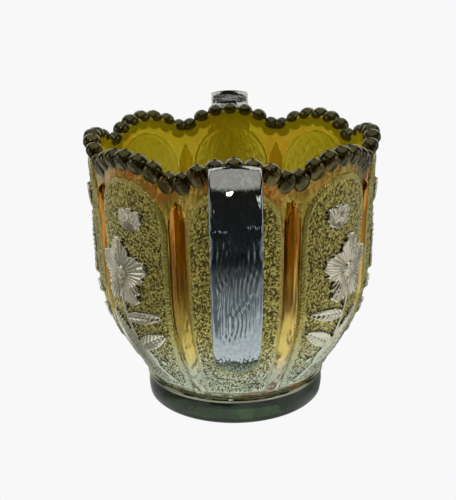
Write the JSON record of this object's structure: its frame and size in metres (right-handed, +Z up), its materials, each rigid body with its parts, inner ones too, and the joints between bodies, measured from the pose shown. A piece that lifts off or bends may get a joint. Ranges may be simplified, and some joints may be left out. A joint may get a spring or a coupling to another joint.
{
  "type": "two-handled footed bowl",
  "caption": "Deep round pressed glass bowl on a round foot, with a beaded scalloped rim, arched stippled panels with flower sprays, pointed ridges between them and strap handles.",
  "frame": {"origin": "middle of the underside of the foot, on the surface it stands on", "axes": "+Z up through the bowl, +Y from the front handle to the back handle, +X across"},
  "size_m": [0.1122, 0.1728, 0.1087],
  "materials": {
    "bowl_glass": "smooth pressed glass, olive-amber, with an iridescent metallic film",
    "foot_glass": "smooth thick pressed glass, dark green, with an iridescent film",
    "handle_glass": "fire-polished pressed glass with a mirror-like grey iridescent film",
    "bead_glass": "glossy round beads, dark amber",
    "stippled_glass": "fine stipple under a gold-olive iridescent film",
    "ridge_glass": "smooth facets, amber to orange",
    "spray_glass": "smooth relief with a silver-beige iridescent film"
  },
  "bodies": {
    "root": {"bowl_wall": "bowl_glass", "flower_2": "spray_glass", "flower_3": "spray_glass", "flower_4": "spray_glass", "flower_6": "spray_glass", "flower_7": "spray_glass", "flower_8": "spray_glass", "foot": "foot_glass", "handle_back": "handle_glass", "handle_front": "handle_glass", "panel_pad_1": "stippled_glass", "panel_pad_2": "stippled_glass", "panel_pad_3": "stippled_glass", "panel_pad_4": "stippled_glass", "panel_pad_5": "stippled_glass", "panel_pad_6": "stippled_glass", "panel_pad_7": "stippled_glass", "panel_pad_8": "stippled_glass", "ridge_1": "ridge_glass", "ridge_2": "ridge_glass", "ridge_3": "ridge_glass", "ridge_4": "ridge_glass", "ridge_5": "ridge_glass", "ridge_6": "ridge_glass", "ridge_7": "ridge_glass", "ridge_8": "ridge_glass", "rim_beads_1": "bead_glass", "rim_beads_2": "bead_glass", "rim_beads_3": "bead_glass", "rim_beads_4": "bead_glass", "rim_beads_5": "bead_glass", "rim_beads_6": "bead_glass", "rim_beads_7": "bead_glass", "rim_beads_8": "bead_glass", "stem_and_leaves_2": "spray_glass", "stem_and_leaves_3": "spray_glass", "stem_and_leaves_4": "spray_glass", "stem_and_leaves_6": "spray_glass", "stem_and_leaves_7": "spray_glass", "stem_and_leaves_8": "spray_glass"}
  },
  "joints": []
}
